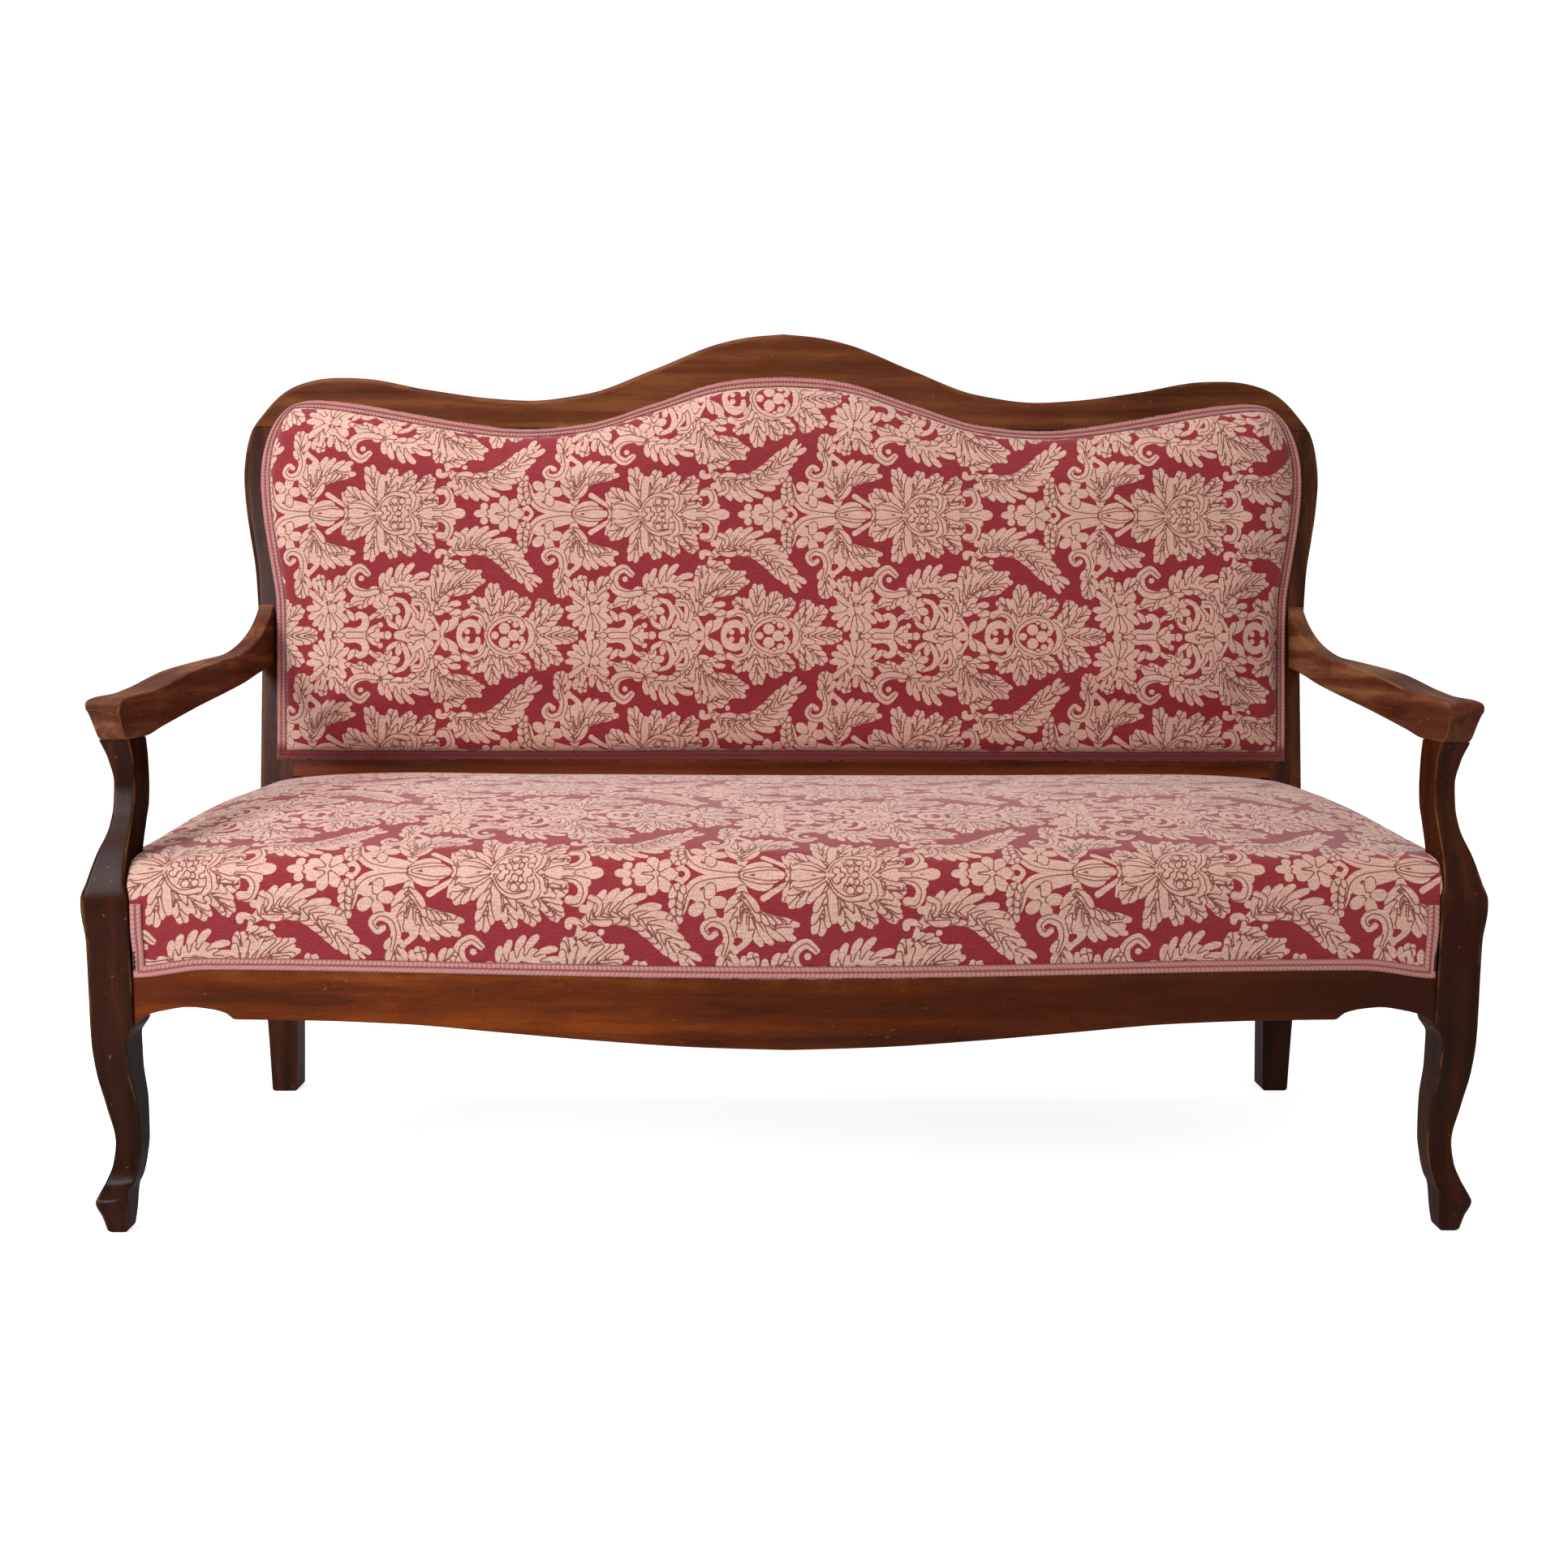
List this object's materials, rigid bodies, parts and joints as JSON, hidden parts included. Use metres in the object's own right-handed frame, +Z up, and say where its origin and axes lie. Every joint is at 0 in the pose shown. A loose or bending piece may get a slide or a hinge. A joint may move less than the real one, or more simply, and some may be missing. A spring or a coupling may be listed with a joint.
{
  "type": "cabriole settee",
  "caption": "Two-to-three-seat settee with a shaped show-wood frame, cabriole front legs, open arms and a sprung, upholstered seat and back.",
  "frame": {"origin": "on the floor, under the middle of the settee's outline", "axes": "+X along the length, to the right as seen from the front; +Y towards the back; +Z up"},
  "size_m": [1.64, 0.7418, 1.143],
  "materials": {
    "show_wood": "walnut-stained beech or walnut, semi-gloss polish with rubbed edges",
    "frame_wood": "unpolished hidden frame timber",
    "damask": "woven damask in crimson and cream",
    "gimp": "double-ridged pink braid",
    "jute": "coarse jute webbing and hessian",
    "stuffing": "fibre stuffing under calico",
    "spring_steel": "drawn spring wire",
    "dust_cloth": "black cambric bottoming"
  },
  "bodies": {
    "root": {"crest_rail": "show_wood", "back_stile_left": "show_wood", "back_stile_right": "show_wood", "lower_back_rail": "show_wood", "front_seat_rail": "show_wood", "side_seat_rail_left": "show_wood", "side_seat_rail_right": "show_wood", "front_post_left": "show_wood", "front_post_right": "show_wood", "armrest_left": "show_wood", "armrest_right": "show_wood", "back_upright": "frame_wood", "rear_seat_rail": "frame_wood", "corner_block_front_left": "frame_wood", "corner_block_front_right": "frame_wood", "corner_block_rear_left": "frame_wood", "corner_block_rear_right": "frame_wood", "seat_web_cross_1": "jute", "seat_web_cross_2": "jute", "seat_web_cross_3": "jute", "seat_web_cross_4": "jute", "seat_web_cross_5": "jute", "seat_web_long_1": "jute", "seat_web_long_2": "jute", "seat_web_long_3": "jute", "back_web_1": "jute", "back_web_2": "jute", "back_web_3": "jute", "back_web_4": "jute", "spring_canvas": "jute", "back_canvas": "jute", "seat_spring_1_1": "spring_steel", "seat_spring_1_2": "spring_steel", "seat_spring_1_3": "spring_steel", "seat_spring_2_1": "spring_steel", "seat_spring_2_2": "spring_steel", "seat_spring_2_3": "spring_steel", "seat_spring_3_1": "spring_steel", "seat_spring_3_2": "spring_steel", "seat_spring_3_3": "spring_steel", "seat_spring_4_1": "spring_steel", "seat_spring_4_2": "spring_steel", "seat_spring_4_3": "spring_steel", "seat_spring_5_1": "spring_steel", "seat_spring_5_2": "spring_steel", "seat_spring_5_3": "spring_steel", "seat_stuffing": "stuffing", "back_stuffing": "stuffing", "seat_cover": "damask", "back_cover": "damask", "outer_back_cloth": "damask", "seat_gimp_front": "gimp", "seat_gimp_left": "gimp", "seat_gimp_right": "gimp", "back_gimp": "gimp", "dust_cover": "dust_cloth"}
  },
  "joints": []
}
